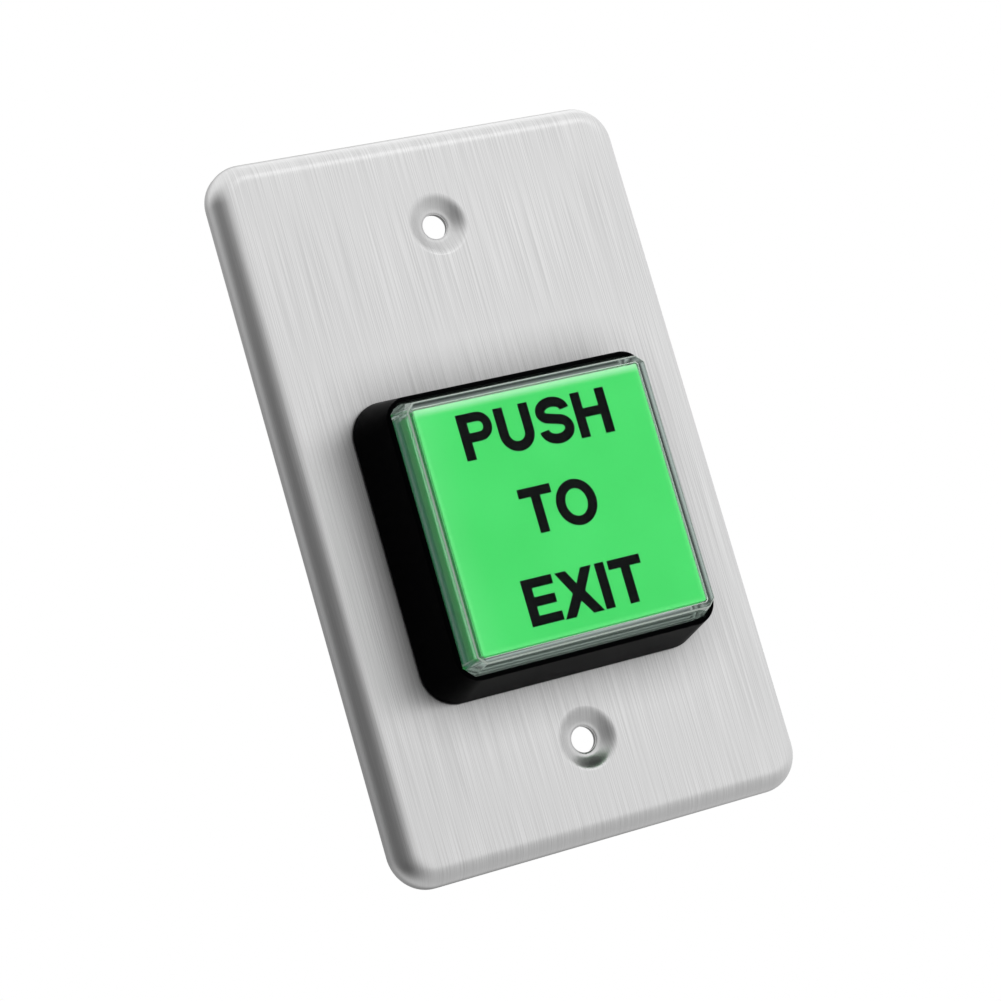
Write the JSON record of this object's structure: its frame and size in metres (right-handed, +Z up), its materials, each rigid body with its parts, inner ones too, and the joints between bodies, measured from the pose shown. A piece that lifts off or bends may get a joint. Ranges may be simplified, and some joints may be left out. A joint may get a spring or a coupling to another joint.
{
  "type": "door exit button",
  "caption": "Wall plate with a square lit push button that works a snap-action switch behind it through a plunger and lever.",
  "frame": {"origin": "the plate's centre between its two screw holes, on the wall plane", "axes": "+Z up along the plate's long side, +X to the right seen from the room, +Y into the wall"},
  "size_m": [0.0698, 0.0664, 0.1142],
  "materials": {
    "plate_steel": "satin stainless sheet brushed along its length",
    "bezel_plastic": "smooth black moulded plastic with a soft sheen",
    "cap_clear": "clear moulded acrylic, polished",
    "legend_green": "green translucent sheet",
    "diffuser_milky": "milky translucent moulding",
    "plunger_white": "white moulded nylon",
    "spring_wire": "drawn steel wire",
    "washer_zinc": "zinc-plated steel",
    "nut_plastic": "black moulded nylon",
    "holder_grey": "grey moulded nylon",
    "lamp_base_white": "white moulded nylon",
    "lamp_resin": "clear cast resin",
    "tab_brass": "stamped brass sheet",
    "case_black": "black moulded phenolic",
    "cover_black": "black moulded phenolic",
    "button_red": "red moulded plastic",
    "lever_steel": "stamped stainless sheet",
    "blade_copper": "thin beryllium copper sheet",
    "contact_silver": "silver alloy"
  },
  "bodies": {
    "housing": {"face_plate": "plate_steel", "bezel_housing": "bezel_plastic", "nut_washer": "washer_zinc", "barrel_nut": "nut_plastic", "lamp_holder": "holder_grey", "lamp_base": "lamp_base_white", "lamp_dome": "lamp_resin", "lamp_tab_0": "tab_brass", "lamp_tab_1": "tab_brass", "return_spring": "spring_wire", "switch_case": "case_black", "switch_cover": "cover_black", "lever_pin": "lever_steel", "blade_rivet": "tab_brass", "common_tab": "tab_brass", "closed_tab": "tab_brass", "open_tab": "tab_brass", "closed_contact": "contact_silver", "open_contact": "contact_silver"},
    "plunger": {"plunger": "plunger_white", "diffuser": "diffuser_milky", "legend_insert": "legend_green", "lens_cap": "cap_clear"},
    "lever": {"switch_lever": "lever_steel"},
    "switch_button": {"switch_button": "button_red"},
    "blade": {"snap_blade": "blade_copper", "moving_contact": "contact_silver"}
  },
  "joints": [
    {"name": "button_press", "type": "slide", "parent": "housing", "child": "plunger", "axis": [0, 1, 0], "range_m": [0, 0.0025], "stiffness_N_per_m": 400, "springref_m": -0.006, "deforming": ["return_spring"]},
    {"name": "lever_swing", "type": "hinge", "parent": "housing", "child": "lever", "pos_m": [-0.01665, 0.02287, -0.0138], "axis": [0, 0, 1], "range_deg": [0, 7.12]},
    {"name": "switch_press", "type": "slide", "parent": "housing", "child": "switch_button", "axis": [0, 1, 0], "range_m": [0, 0.00079]},
    {"name": "blade_swing", "type": "hinge", "parent": "housing", "child": "blade", "pos_m": [-0.01555, 0.03075, -0.0138], "axis": [0, 0, 1], "range_deg": [0, 3.96]}
  ],
  "couplings": [
    {"joint": "lever_swing", "follows": "button_press", "rad_per_m": 49.632},
    {"joint": "switch_press", "follows": "button_press", "ratio": 0.315},
    {"joint": "blade_swing", "follows": "button_press", "rad_per_m": 27.586}
  ]
}
